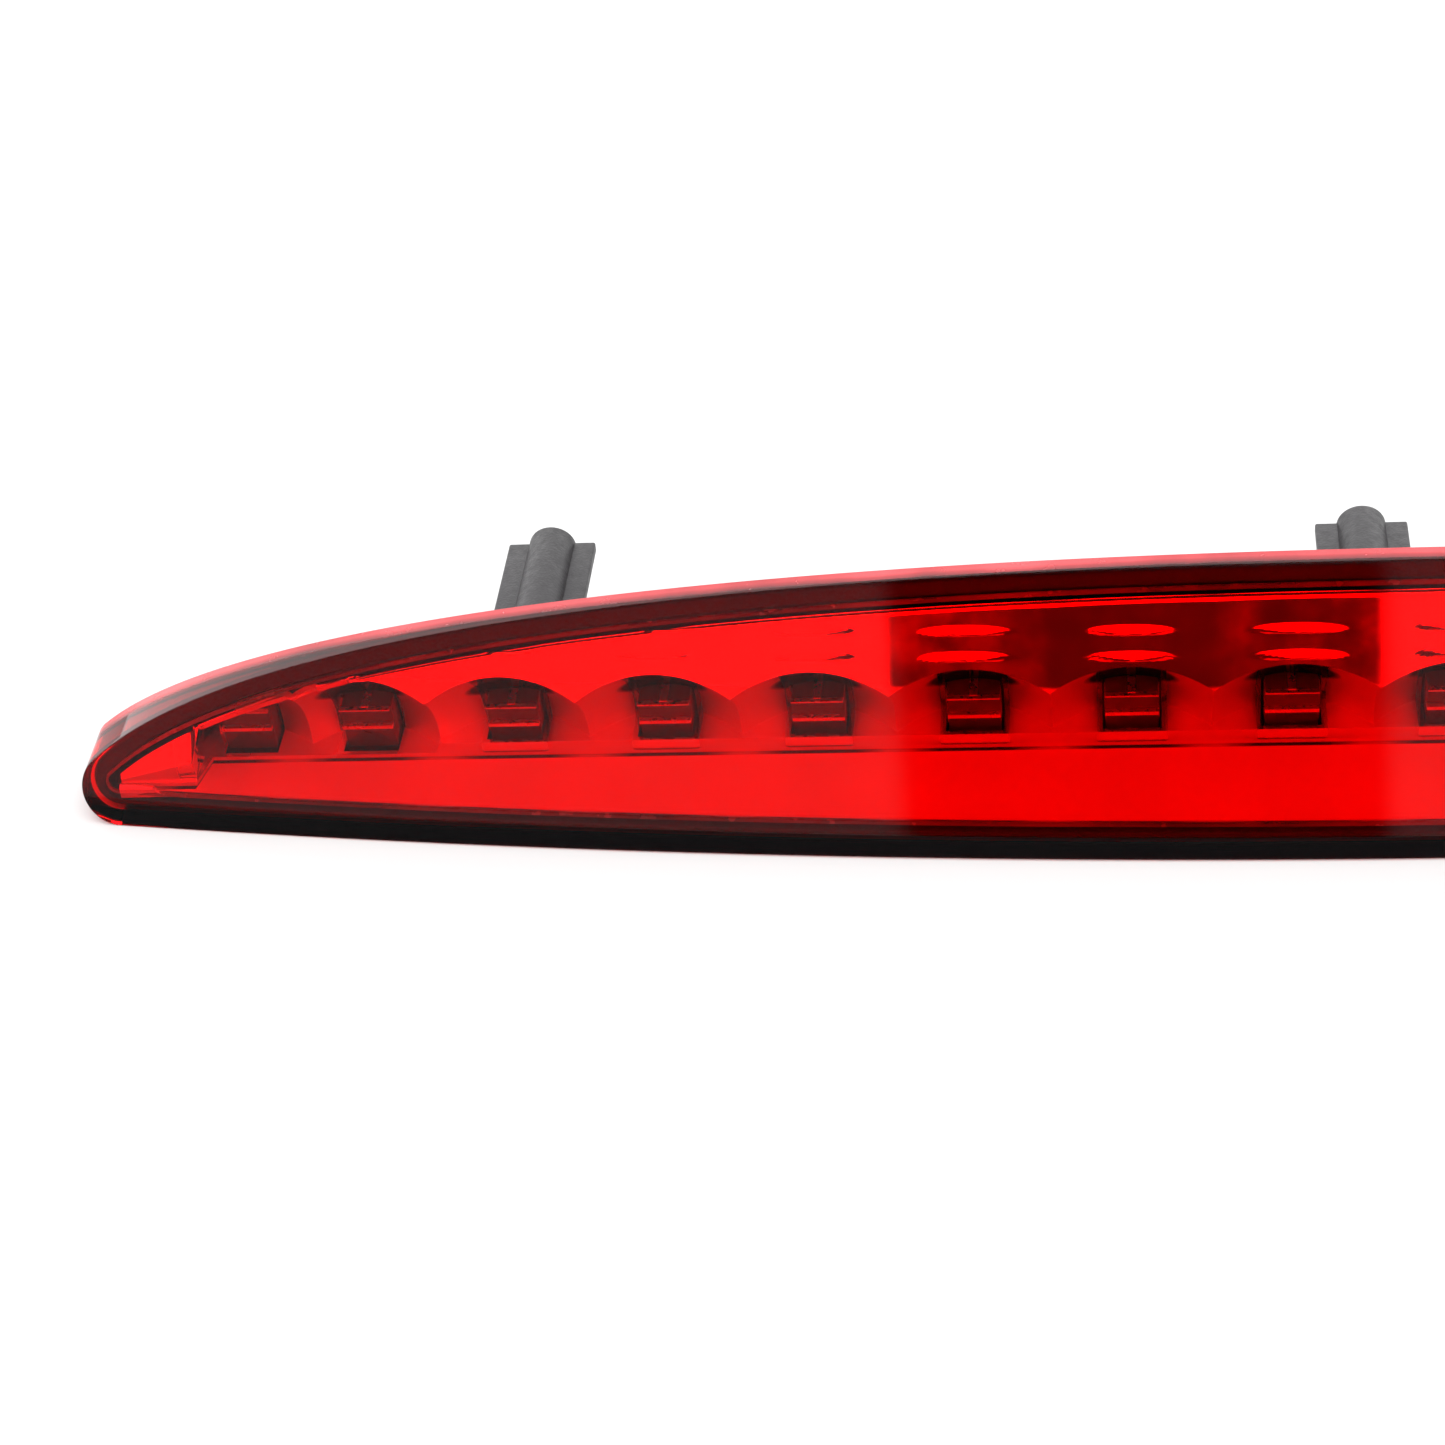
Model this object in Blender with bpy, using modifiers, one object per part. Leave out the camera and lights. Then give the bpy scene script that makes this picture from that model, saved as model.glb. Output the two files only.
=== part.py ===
"""Third brake light: red lens, black housing with three mounting bosses, reflector,
LED circuit board and connector socket.

Metres, +Z up. The lamp rests on the flat bottom of its lens, and its lens faces -Y.
X and Y are centred on the bounding box, and z = 0 is the resting face.
"""
import math

import bmesh
import bpy
from mathutils import Matrix, Vector

MM = 0.001

# Overall size. Depths are counted from the foremost point of the lens.
DEPTH = 51.5 * MM            # foremost point of the lens to the boss ends
Y_FRONT = -DEPTH / 2         # world y of the foremost point of the lens
ARCH_TOP = 35.4 * MM         # height of the lens at the middle
ARCH_HALF = 191.0 * MM       # half width of the arch curve
ARCH_DROP = 46.8 * MM
ARCH_POWER_X = 2.22
ARCH_POWER_Z = 2.77
TIP_RADIUS = 5.0 * MM
TIP_CENTRE_X = 179.1 * MM
TIP_JOIN_X = 182.7 * MM      # the tip's arc runs into the arch here

# Lens front: curved in plan, leaning back, slightly crowned.
PLAN_RADIUS = 1547 * MM
FACE_LEAN = 0.576
FACE_CROWN = 2.0 * MM
FACE_ROW_STEP = 6.6 * MM     # the face is built in rows, the second one just below z = 0
FACE_ROW_DROP = 0.05 * MM
LENS_PLATE = 2.5 * MM        # front wall
LENS_SKIRT = 1.1 * MM        # side wall
LENS_BACK = 23.0 * MM
SEAL_INSET = 0.65 * MM

# Housing
GAP = 0.3 * MM
RIM_INSET = 1.5 * MM
RIM_WALL = 1.9 * MM
RIM_FLOOR_WALL = 1.0 * MM
FLANGE_INSET = 0.9 * MM
FLANGE_TAPER = 1.2 * MM      # the flange slants inwards to its back
FLANGE_FLOOR = 0.8 * MM
FLANGE_FRONT = 24.0 * MM
FLANGE_BACK = 25.4 * MM
HOUSING_BACK = 32.8 * MM
HOUSING_WALL = 1.4 * MM
REAR_TOP = 26.5 * MM
REAR_HALF = 180.0 * MM
REAR_DROP = 34.0 * MM
REAR_TIP_RADIUS = 3.0 * MM

# Mounting bosses
BOSS_XS = (-118.0 * MM, 0.0, 118.0 * MM)
BOSS_Z = 18.0 * MM
BOSS_RADIUS = 3.5 * MM
BOSS_HOLE_RADIUS = 1.6 * MM
BOSS_HOLE_DEPTH = 14.0 * MM
WING_REACH = 6.5 * MM
WING_THICKNESS = 1.6 * MM
WING_END = 51.0 * MM

# Reflector
REFLECTOR_SHEET = 1.0 * MM
REFLECTOR_INSET = 5.0 * MM
REFLECTOR_END = 176.0 * MM
SHELF_Z = 3.9 * MM
RISER_Y = 20.5 * MM
RISER_TOP_Z = 6.2 * MM
DISH_VERTEX_Y = 27.3 * MM
DISH_AXIS_Z = 6.8 * MM
DISH_FOCAL_4 = 20.0 * MM
LEDGE_Y = 15.5 * MM
LEDGE_CLEARANCE = 3.4 * MM
POST_XS = (-132.0 * MM, -22.0 * MM, 22.0 * MM, 132.0 * MM)

# LEDs and circuit board
LED_PITCH = 22.0 * MM
LED_XS_HALF = [LED_PITCH * (i + 0.5) for i in range(6)] + [142.5 * MM, 160.5 * MM]
CELL_EDGES_HALF = [LED_PITCH * i for i in range(7)] + [151.5 * MM, 166.0 * MM]
LED_SIZE = 7.6 * MM
LED_Z = 7.6 * MM
LED_FRONT = 22.5 * MM
LED_DOME_RADIUS = 2.4 * MM
BOARD_FRONT = 28.2 * MM
BOARD_THICKNESS = 1.6 * MM
BOARD_HALF_LENGTH = 165.0 * MM
BOARD_BOTTOM = 3.6 * MM
BOARD_TOP = 11.4 * MM
BOARD_CORNER = 3.0 * MM      # slanted upper corners
BOARD_BACK = BOARD_FRONT + BOARD_THICKNESS
BOARD_Z = (BOARD_BOTTOM + BOARD_TOP) / 2
SCREW_RADIUS = 1.0 * MM
SCREW_HEAD_RADIUS = 2.0 * MM

# Connector socket
SOCKET_X = 48.0 * MM
SOCKET_Z = 12.0 * MM
SOCKET_WIDTH = 17.0 * MM
SOCKET_HEIGHT = 11.0 * MM
SOCKET_WALL = 1.5 * MM
SOCKET_FRONT = 30.1 * MM
SOCKET_FLOOR = 35.0 * MM
SOCKET_MOUTH = 47.0 * MM
PIN_SPREAD = 6.4 * MM
PIN_FRONT = 30.4 * MM
PIN_END = 43.0 * MM

BREATHER_X = -48.0 * MM


# ---------------------------------------------------------------- scene helpers

def clear_scene():
    for obj in list(bpy.data.objects):
        bpy.data.objects.remove(obj)


def new_collection(name):
    coll = bpy.data.collections.new(name)
    bpy.context.scene.collection.children.link(coll)
    return coll


clear_scene()
PARTS = new_collection("third_brake_light")
CUTTERS = new_collection("cutters")


def material(name, colour, roughness, metallic=0.0, alpha=1.0):
    mat = bpy.data.materials.new(name)
    mat.use_nodes = True
    shader = mat.node_tree.nodes["Principled BSDF"]
    shader.inputs["Base Color"].default_value = (*colour, 1.0)
    shader.inputs["Roughness"].default_value = roughness
    shader.inputs["Metallic"].default_value = metallic
    shader.inputs["Alpha"].default_value = alpha
    return mat


RED_ACRYLIC = material("red_acrylic", (0.75, 0.005, 0.012), 0.05, alpha=0.35)
BLACK_PLASTIC = material("black_plastic", (0.025, 0.022, 0.022), 0.45)
MIRROR_METAL = material("mirror_coating", (0.85, 0.85, 0.86), 0.06, metallic=1.0)
BOARD_GREEN = material("board_laminate", (0.03, 0.16, 0.06), 0.5)
LED_EPOXY = material("led_epoxy", (0.70, 0.06, 0.05), 0.25)
RESISTOR_BLACK = material("resistor_body", (0.03, 0.03, 0.035), 0.4)
CERAMIC_TAN = material("capacitor_ceramic", (0.45, 0.30, 0.16), 0.5)
BRASS = material("terminal_brass", (0.80, 0.58, 0.28), 0.3, metallic=1.0)
STEEL = material("screw_steel", (0.60, 0.60, 0.62), 0.35, metallic=1.0)
RUBBER = material("seal_rubber", (0.02, 0.02, 0.02), 0.8)
MEMBRANE = material("vent_membrane", (0.80, 0.80, 0.78), 0.9)


def add_object(name, mesh, mat=None):
    """Put a mesh in the scene as a part, or as a cutter where it has no material."""
    mesh.name = name
    obj = bpy.data.objects.new(name, mesh)
    if mat:
        mesh.materials.clear()
        mesh.materials.append(mat)
        PARTS.objects.link(obj)
    else:
        CUTTERS.objects.link(obj)
        obj.hide_render = True
        obj.display_type = "WIRE"
    return obj


def from_bmesh(name, bm, mat=None):
    bmesh.ops.recalc_face_normals(bm, faces=bm.faces)
    mesh = bpy.data.meshes.new(name)
    bm.to_mesh(mesh)
    bm.free()
    return add_object(name, mesh, mat)


def boolean(obj, other, operation):
    mod = obj.modifiers.new(operation.lower(), "BOOLEAN")
    mod.object = other
    mod.operation = operation
    mod.solver = "EXACT"


def bevel(obj, width, segments=1):
    mod = obj.modifiers.new("bevel", "BEVEL")
    mod.width = width
    mod.segments = segments
    mod.limit_method = "ANGLE"
    mod.angle_limit = math.radians(50)


# ---------------------------------------------------------------- shape helpers

def add_box(bm, x_range, y_range, z_range):
    """A box between ranges; y is counted from the lens front."""
    lows = Vector((x_range[0], Y_FRONT + y_range[0], z_range[0]))
    highs = Vector((x_range[1], Y_FRONT + y_range[1], z_range[1]))
    size = Matrix.Diagonal((*(highs - lows), 1.0))
    bmesh.ops.create_cube(bm, size=1.0, matrix=Matrix.Translation((lows + highs) / 2) @ size)


def add_rod(bm, x, z, radius, y_range, segments=16):
    """A rod along Y."""
    place = Matrix.Translation((x, Y_FRONT + sum(y_range) / 2, z))
    bmesh.ops.create_cone(bm, cap_ends=True, segments=segments, depth=y_range[1] - y_range[0],
                          radius1=radius, radius2=radius,
                          matrix=place @ Matrix.Rotation(math.pi / 2, 4, "X"))


def box(name, x_range, y_range, z_range, mat=None):
    bm = bmesh.new()
    add_box(bm, x_range, y_range, z_range)
    return from_bmesh(name, bm, mat)


def rod(name, x, z, radius, y_range, mat=None, segments=16):
    bm = bmesh.new()
    add_rod(bm, x, z, radius, y_range, segments)
    return from_bmesh(name, bm, mat)


def arch_height(x, top=ARCH_TOP, half=ARCH_HALF, drop=ARCH_DROP):
    """Height of an arched edge at x."""
    fall = 1 - (abs(x) / half) ** ARCH_POWER_X
    return top - drop * (1 - fall ** (1 / ARCH_POWER_Z))


def half_outline(arch, tip_centre_x, tip_radius, join_x, bottom, arch_points=15, arc_points=6):
    """Right half of an outline, from the bottom of the tip's arc to the top middle."""
    start = -math.pi / 2
    end = math.atan2(arch(join_x) - bottom - tip_radius, join_x - tip_centre_x)
    points = []
    for i in range(arc_points):
        angle = start + (end - start) * i / arc_points
        points.append((tip_centre_x + tip_radius * math.cos(angle),
                       bottom + tip_radius * (1 + math.sin(angle))))
    for i in range(arch_points + 1):
        x = join_x * math.cos(math.pi / 2 * i / arch_points)
        points.append((x, arch(x)))
    return points


def mirrored(half):
    """The whole outline of a right half whose last point is on the middle."""
    return half + [(-x, z) for x, z in reversed(half[:-1])]


def lens_outline():
    return mirrored(half_outline(arch_height, TIP_CENTRE_X, TIP_RADIUS, TIP_JOIN_X, 0.0))


def rear_outline():
    """Outline of the flat rear face of the housing."""
    def arch(x):
        return arch_height(x, REAR_TOP, REAR_HALF, REAR_DROP)
    return mirrored(half_outline(arch, 170.4 * MM, REAR_TIP_RADIUS, 172.5 * MM, FLANGE_FLOOR))


def inset(outline, amount):
    """The outline moved inwards."""
    count = len(outline)
    moved = []
    for i, (x, z) in enumerate(outline):
        ahead = outline[(i + 1) % count]
        behind = outline[i - 1]
        along = Vector((ahead[0] - behind[0], ahead[1] - behind[1])).normalized()
        moved.append([x - along.y * amount, z + along.x * amount])
    moved[0][1] = moved[-1][1] = outline[0][1] + amount
    return [tuple(point) for point in moved]


def lower_floor(outline, floor, reach=8 * MM):
    """The outline with its bottom stretched down to a new floor height."""
    lowest = outline[0][1]
    stretched = []
    for x, z in outline:
        share = max(0.0, 1 - (z - lowest) / reach)
        stretched.append((x, z - share * (lowest - floor)))
    return stretched


def prism(name, outline, y_range, mat=None):
    """An outline in X and Z drawn as a filled 2D curve and extruded along Y."""
    curve = bpy.data.curves.new(name, "CURVE")
    curve.dimensions = "2D"
    curve.fill_mode = "BOTH"
    curve.extrude = (y_range[1] - y_range[0]) / 2
    spline = curve.splines.new("POLY")
    spline.points.add(len(outline) - 1)
    for point, (x, z) in zip(spline.points, outline):
        point.co = (x, z, 0.0, 1.0)
    spline.use_cyclic_u = True
    obj = bpy.data.objects.new(name, curve)
    CUTTERS.objects.link(obj)
    mesh = bpy.data.meshes.new_from_object(obj.evaluated_get(bpy.context.evaluated_depsgraph_get()))
    bpy.data.objects.remove(obj)
    bm = bmesh.new()
    bm.from_mesh(mesh)
    bmesh.ops.remove_doubles(bm, verts=bm.verts, dist=0.01 * MM)
    place = Matrix.Translation((0, Y_FRONT + sum(y_range) / 2, 0)) @ Matrix.Rotation(math.pi / 2, 4, "X")
    bmesh.ops.transform(bm, matrix=place, verts=bm.verts)
    return from_bmesh(name, bm, mat)


def face_depth(x, z):
    """Depth of the outer lens face behind the foremost point."""
    share = z / ARCH_TOP
    return x * x / (2 * PLAN_RADIUS) + FACE_LEAN * z - 4 * FACE_CROWN * share * (1 - share)


def face_block(name, offset, back=60 * MM):
    """Everything behind the lens face moved back by offset: a bent grid, extruded back."""
    bm = bmesh.new()
    rows = 7
    bmesh.ops.create_grid(bm, x_segments=31, y_segments=rows, size=1.0)
    for vert in bm.verts:
        x = vert.co.x * 200 * MM
        row = (vert.co.y + 1) / 2 * rows
        z = (row - 1) * FACE_ROW_STEP - FACE_ROW_DROP
        vert.co = Vector((x, Y_FRONT + offset + face_depth(x, z), z))
    moved = bmesh.ops.extrude_face_region(bm, geom=bm.faces[:])["geom"]
    for vert in moved:
        if isinstance(vert, bmesh.types.BMVert):
            vert.co.y = Y_FRONT + back
    return from_bmesh(name, bm)


def loft(name, first, second, y_first, y_second, mat=None):
    """A solid between two outlines with the same number of points."""
    bm = bmesh.new()
    loops = []
    for outline, y in ((first, y_first), (second, y_second)):
        verts = [bm.verts.new((x, Y_FRONT + y, z)) for x, z in outline]
        loops += [bm.edges.new((verts[i - 1], verts[i])) for i in range(len(verts))]
        bm.faces.new(verts)
    bmesh.ops.bridge_loops(bm, edges=loops)
    return from_bmesh(name, bm, mat)


# ---------------------------------------------------------------- sub-parts

def make_lens():
    lens = prism("outer_lens", lens_outline(), (-2 * MM, LENS_BACK), RED_ACRYLIC)
    boolean(lens, face_block("lens_face", 0.0), "INTERSECT")
    hollow = prism("lens_hollow", inset(lens_outline(), LENS_SKIRT), (-1 * MM, 30 * MM))
    boolean(hollow, face_block("lens_hollow_face", LENS_PLATE), "INTERSECT")
    boolean(lens, hollow, "DIFFERENCE")


def make_seal():
    """Flat ring between the lens skirt and the housing flange."""
    edges = (LENS_BACK + GAP, FLANGE_FRONT - GAP)
    seal = prism("lens_seal", inset(lens_outline(), SEAL_INSET), edges, RUBBER)
    hole = prism("seal_hole", inset(lens_outline(), RIM_INSET - GAP), (20 * MM, 30 * MM))
    boolean(seal, hole, "DIFFERENCE")


def make_housing():
    """Rim inside the lens skirt, flange, tapered back, bosses; all one moulding."""
    rim_outline = inset(lens_outline(), RIM_INSET)
    flange_front = lower_floor(inset(lens_outline(), FLANGE_INSET), FLANGE_FLOOR)
    flange_back = lower_floor(inset(lens_outline(), FLANGE_INSET + FLANGE_TAPER), FLANGE_FLOOR)
    housing = prism("rear_housing", rim_outline, (-1 * MM, FLANGE_FRONT + 0.6 * MM), BLACK_PLASTIC)
    boolean(housing, face_block("rim_face", LENS_PLATE + GAP), "INTERSECT")
    flange = loft("housing_flange", flange_front, flange_back, FLANGE_FRONT, FLANGE_BACK)
    boolean(housing, flange, "UNION")
    back = loft("housing_back", flange_back, rear_outline(), FLANGE_BACK - 0.2 * MM, HOUSING_BACK)
    boolean(housing, back, "UNION")
    inner_rim = lower_floor(inset(rim_outline, RIM_WALL), RIM_INSET + RIM_FLOOR_WALL)
    boolean(housing, prism("rim_hollow", inner_rim, (-2 * MM, FLANGE_BACK)), "DIFFERENCE")
    hollow = loft("back_hollow", inset(inner_rim, 0.2 * MM), inset(rear_outline(), HOUSING_WALL),
                  FLANGE_BACK - 0.3 * MM, HOUSING_BACK - HOUSING_WALL)
    boolean(housing, hollow, "DIFFERENCE")
    for number, x in enumerate(BOSS_XS, 1):
        boolean(housing, rod(f"boss_{number}", x, BOSS_Z, BOSS_RADIUS, (31.6 * MM, DEPTH)), "UNION")
        wing = box(f"boss_wing_{number}", (x - WING_REACH, x + WING_REACH), (31.7 * MM, WING_END),
                   (BOSS_Z - WING_THICKNESS / 2, BOSS_Z + WING_THICKNESS / 2))
        boolean(housing, wing, "UNION")
        hole = rod(f"boss_hole_{number}", x, BOSS_Z, BOSS_HOLE_RADIUS,
                   (DEPTH - BOSS_HOLE_DEPTH, DEPTH + 1 * MM), segments=12)
        boolean(housing, hole, "DIFFERENCE")
    half_w = SOCKET_WIDTH / 2 + GAP
    half_h = SOCKET_HEIGHT / 2 + GAP
    socket_hole = box("socket_hole", (SOCKET_X - half_w, SOCKET_X + half_w),
                      (30 * MM, 34 * MM), (SOCKET_Z - half_h, SOCKET_Z + half_h))
    boolean(housing, socket_hole, "DIFFERENCE")
    vent = rod("breather_hole", BREATHER_X, SOCKET_Z, 1.5 * MM, (30 * MM, 34 * MM), segments=12)
    boolean(housing, vent, "DIFFERENCE")


def cell_columns():
    """Column positions of the reflector, with one on every dish edge."""
    edges = [-x for x in reversed(CELL_EDGES_HALF[1:])] + CELL_EDGES_HALF
    columns = [-REFLECTOR_END, -171 * MM]
    for left, right in zip(edges, edges[1:]):
        columns += [left + (right - left) * step / 6 for step in range(6)]
    return columns + [edges[-1], 171 * MM, REFLECTOR_END]


def reflector_depth(x, z):
    """Depth of the mirrored wall: dishes cut into a ledge that follows the lens."""
    ledge = face_depth(x, z) + LEDGE_CLEARANCE
    if abs(x) > CELL_EDGES_HALF[-1]:
        return max(LEDGE_Y, ledge)
    nearest = min(LED_XS_HALF, key=lambda led_x: abs(abs(x) - led_x))
    radius_squared = (abs(x) - nearest) ** 2 + (z - DISH_AXIS_Z) ** 2
    return max(ledge, DISH_VERTEX_Y - radius_squared / DISH_FOCAL_4)


def reflector_top(x):
    """Height of the reflector's upper edge, a fixed distance inside the lens outline."""
    step = 0.5 * MM
    slope = (arch_height(abs(x) + step) - arch_height(abs(x) - step)) / (2 * step)
    return arch_height(x) - REFLECTOR_INSET * math.hypot(1, slope)


def make_reflector():
    """Mirrored sheet: a shelf behind the lens, a riser, and the wall with the dishes."""
    columns = cell_columns()
    wall_rows = 8
    rows = wall_rows + 4
    bm = bmesh.new()
    bmesh.ops.create_grid(bm, x_segments=len(columns) - 1, y_segments=rows - 1, size=1.0)
    grid = sorted(bm.verts, key=lambda v: (round(v.co.x, 5), v.co.y))
    for index, vert in enumerate(grid):
        x = columns[index // rows]
        row = index % rows
        last_two = abs(x) > CELL_EDGES_HALF[6] + 0.1 * MM
        riser_top = SHELF_Z + 0.5 * MM if last_two else RISER_TOP_Z
        wall_y = reflector_depth(x, riser_top)
        riser_y = min(RISER_Y, wall_y - 0.4 * MM)
        if row == 0:
            y, z = face_depth(x, SHELF_Z) + LENS_PLATE + 0.6 * MM, SHELF_Z
        elif row == 1:
            y, z = riser_y, SHELF_Z
        elif row == 2:
            y, z = riser_y, riser_top
        else:
            z = riser_top + (reflector_top(x) - riser_top) * (row - 3) / wall_rows
            y = reflector_depth(x, z)
        vert.co = Vector((x, Y_FRONT + y, z))
    bmesh.ops.recalc_face_normals(bm, faces=bm.faces)
    middle = min(bm.faces, key=lambda f: f.calc_center_median().z + abs(f.calc_center_median().x))
    if middle.normal.z < 0:
        bmesh.ops.reverse_faces(bm, faces=bm.faces)
    mesh = bpy.data.meshes.new("reflector")
    bm.to_mesh(mesh)
    bm.free()
    reflector = add_object("reflector", mesh, MIRROR_METAL)
    sheet = reflector.modifiers.new("sheet", "SOLIDIFY")
    sheet.thickness = REFLECTOR_SHEET
    sheet.offset = -1.0
    posts = bmesh.new()
    for x in POST_XS:
        add_rod(posts, x, LED_Z, 2.3 * MM, (reflector_depth(x, LED_Z) + 0.5 * MM, BOARD_FRONT - GAP), 10)
    boolean(reflector, from_bmesh("reflector_posts", posts), "UNION")
    cuts = bmesh.new()
    half = LED_SIZE / 2 + GAP
    for led_x in led_positions():
        add_box(cuts, (led_x - half, led_x + half), (21.2 * MM, 30 * MM), (LED_Z - half, LED_Z + half))
    for x in POST_XS:
        add_rod(cuts, x, LED_Z, SCREW_RADIUS + GAP, (24.0 * MM, 30 * MM), 8)
    boolean(reflector, from_bmesh("led_openings", cuts), "DIFFERENCE")


def led_positions():
    return [-x for x in reversed(LED_XS_HALF)] + LED_XS_HALF


def make_led(number, x):
    """Square-bodied LED with a domed top."""
    half = LED_SIZE / 2
    led = box(f"led_{number:02d}", (x - half, x + half), (LED_FRONT, BOARD_FRONT - GAP),
              (LED_Z - half, LED_Z + half), LED_EPOXY)
    dome = bmesh.new()
    place = Matrix.Translation((x, Y_FRONT + LED_FRONT + 0.6 * MM, LED_Z))
    bmesh.ops.create_uvsphere(dome, u_segments=10, v_segments=6, radius=LED_DOME_RADIUS,
                              matrix=place @ Matrix.Rotation(math.pi / 2, 4, "X"))
    boolean(led, from_bmesh(f"led_dome_{number:02d}", dome), "UNION")


def make_board():
    low_end = (BOARD_HALF_LENGTH, BOARD_BOTTOM)
    high_end = (BOARD_HALF_LENGTH, BOARD_TOP - BOARD_CORNER)
    top_end = (BOARD_HALF_LENGTH - BOARD_CORNER, BOARD_TOP)
    right_half = [low_end, high_end, top_end]
    outline = right_half + [(-x, z) for x, z in reversed(right_half)]
    board = prism("circuit_board", outline, (BOARD_FRONT, BOARD_BACK), BOARD_GREEN)
    holes = bmesh.new()
    for x in POST_XS:
        add_rod(holes, x, LED_Z, SCREW_RADIUS + GAP, (27 * MM, 31 * MM), 10)
    boolean(board, from_bmesh("board_holes", holes), "DIFFERENCE")


def make_screw(number, x):
    """A screw from behind, through the board into a post of the reflector."""
    screw = rod(f"board_screw_{number}", x, LED_Z, SCREW_HEAD_RADIUS,
                (BOARD_BACK + 0.2 * MM, BOARD_BACK + 1.1 * MM), STEEL, segments=12)
    shaft = rod(f"screw_shaft_{number}", x, LED_Z, SCREW_RADIUS,
                (24.6 * MM, BOARD_BACK + 0.6 * MM), segments=8)
    boolean(screw, shaft, "UNION")


def make_chip(name, x, width, height, mat):
    """A surface-mounted component on the back of the board."""
    chip = box(name, (x - width / 2, x + width / 2), (BOARD_BACK + 0.2 * MM, BOARD_BACK + 1.0 * MM),
               (BOARD_Z - height / 2, BOARD_Z + height / 2), mat)
    bevel(chip, 0.15 * MM)


def make_electronics():
    for number, x in enumerate((-110 * MM, -77 * MM, 77 * MM, 110 * MM), 1):
        make_chip(f"resistor_{number}", x, 6.3 * MM, 3.2 * MM, RESISTOR_BLACK)
    make_chip("reverse_diode", 66 * MM, 4.4 * MM, 2.6 * MM, RESISTOR_BLACK)
    make_chip("suppression_capacitor", 0.0, 3.2 * MM, 1.6 * MM, CERAMIC_TAN)


def make_socket():
    """Open-ended shroud with a floor that the two terminals pass through."""
    half_w = SOCKET_WIDTH / 2
    half_h = SOCKET_HEIGHT / 2
    socket = box("connector_socket", (SOCKET_X - half_w, SOCKET_X + half_w),
                 (SOCKET_FRONT, SOCKET_MOUTH), (SOCKET_Z - half_h, SOCKET_Z + half_h), BLACK_PLASTIC)
    half_w -= SOCKET_WALL
    half_h -= SOCKET_WALL
    cavity = box("socket_cavity", (SOCKET_X - half_w, SOCKET_X + half_w),
                 (SOCKET_FLOOR, SOCKET_MOUTH + 1 * MM), (SOCKET_Z - half_h, SOCKET_Z + half_h))
    boolean(socket, cavity, "DIFFERENCE")
    latch = box("socket_latch", (SOCKET_X - 2 * MM, SOCKET_X + 2 * MM),
                (SOCKET_MOUTH - 5 * MM, SOCKET_MOUTH - 2 * MM),
                (SOCKET_Z + SOCKET_HEIGHT / 2 - 0.5 * MM, SOCKET_Z + SOCKET_HEIGHT / 2 + 1.0 * MM))
    boolean(socket, latch, "UNION")
    slots = bmesh.new()
    for side in (-1, 1):
        x = SOCKET_X + side * PIN_SPREAD / 2
        add_box(slots, (x - 0.7 * MM, x + 0.7 * MM), (29 * MM, 36 * MM),
                (SOCKET_Z - 1.3 * MM, SOCKET_Z + 1.3 * MM))
    boolean(socket, from_bmesh("pin_slots", slots), "DIFFERENCE")


def make_terminal(name, side):
    x = SOCKET_X + side * PIN_SPREAD / 2
    pin = box(name, (x - 0.4 * MM, x + 0.4 * MM), (PIN_FRONT, PIN_END),
              (SOCKET_Z - 1.0 * MM, SOCKET_Z + 1.0 * MM), BRASS)
    bevel(pin, 0.2 * MM)


def make_socket_seal():
    """Rubber ring around the shroud, against the rear face of the housing."""
    half_w = SOCKET_WIDTH / 2 + GAP
    half_h = SOCKET_HEIGHT / 2 + GAP
    wall = 2.0 * MM
    ring = box("socket_seal", (SOCKET_X - half_w - wall, SOCKET_X + half_w + wall),
               (HOUSING_BACK + GAP, HOUSING_BACK + 2.5 * MM),
               (SOCKET_Z - half_h - wall, SOCKET_Z + half_h + wall), RUBBER)
    bevel(ring, 0.5 * MM)
    hole = box("seal_ring_hole", (SOCKET_X - half_w, SOCKET_X + half_w), (30 * MM, 40 * MM),
               (SOCKET_Z - half_h, SOCKET_Z + half_h))
    boolean(ring, hole, "DIFFERENCE")


def make_breather():
    rod("breather_patch", BREATHER_X, SOCKET_Z, 4.0 * MM,
        (HOUSING_BACK + GAP, HOUSING_BACK + 0.8 * MM), MEMBRANE, segments=20)


make_lens()
make_seal()
make_housing()
make_reflector()
make_board()
make_electronics()
make_socket()
make_terminal("terminal_positive", 1)
make_terminal("terminal_negative", -1)
make_socket_seal()
make_breather()
for led_number, led_x in enumerate(led_positions(), 1):
    make_led(led_number, led_x)
for screw_number, screw_x in enumerate(POST_XS, 1):
    make_screw(screw_number, screw_x)
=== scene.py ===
"""Looks of the third brake light: fine lens, housing, reflector and LEDs around the CAD frame."""
import math

import bmesh
import bpy
from mathutils import Matrix, Vector


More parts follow.
